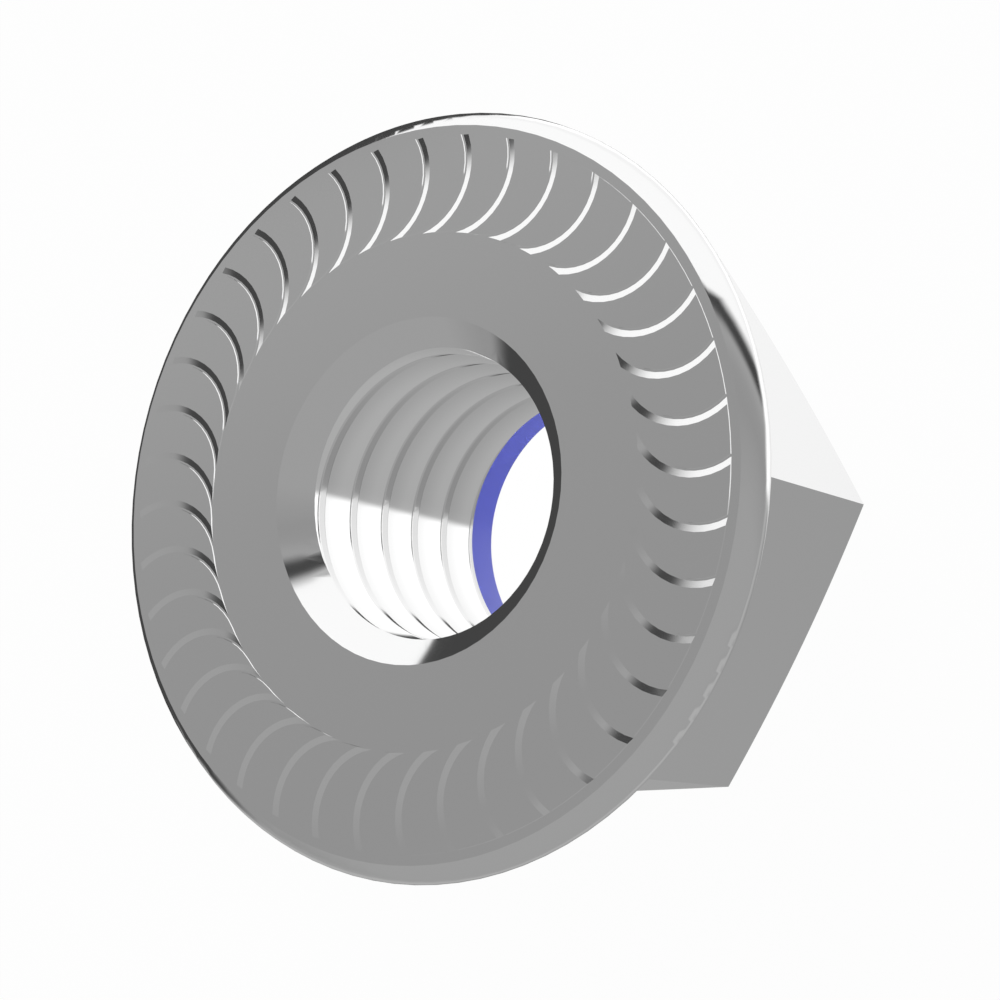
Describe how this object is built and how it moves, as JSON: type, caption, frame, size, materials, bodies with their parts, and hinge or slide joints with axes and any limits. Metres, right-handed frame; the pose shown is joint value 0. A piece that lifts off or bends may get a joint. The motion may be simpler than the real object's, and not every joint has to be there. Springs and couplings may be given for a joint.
{
  "type": "serrated flange lock nut",
  "caption": "Hex lock nut with a wide serrated flange and a nylon ring held in a crimped collar, so it grips both the joint and the bolt.",
  "frame": {"origin": "centre of the collar's end face, on the thread axis, where the nut stands", "axes": "+Z along the thread axis towards the serrated bearing face, +X through one corner of the hexagon"},
  "size_m": [0.0178, 0.0178, 0.0089],
  "materials": {
    "zinc_steel": "bright zinc plate, smooth",
    "blue_nylon": "satin moulded nylon"
  },
  "bodies": {
    "root": {"nut_body": "zinc_steel", "nylon_insert": "blue_nylon"}
  },
  "joints": []
}
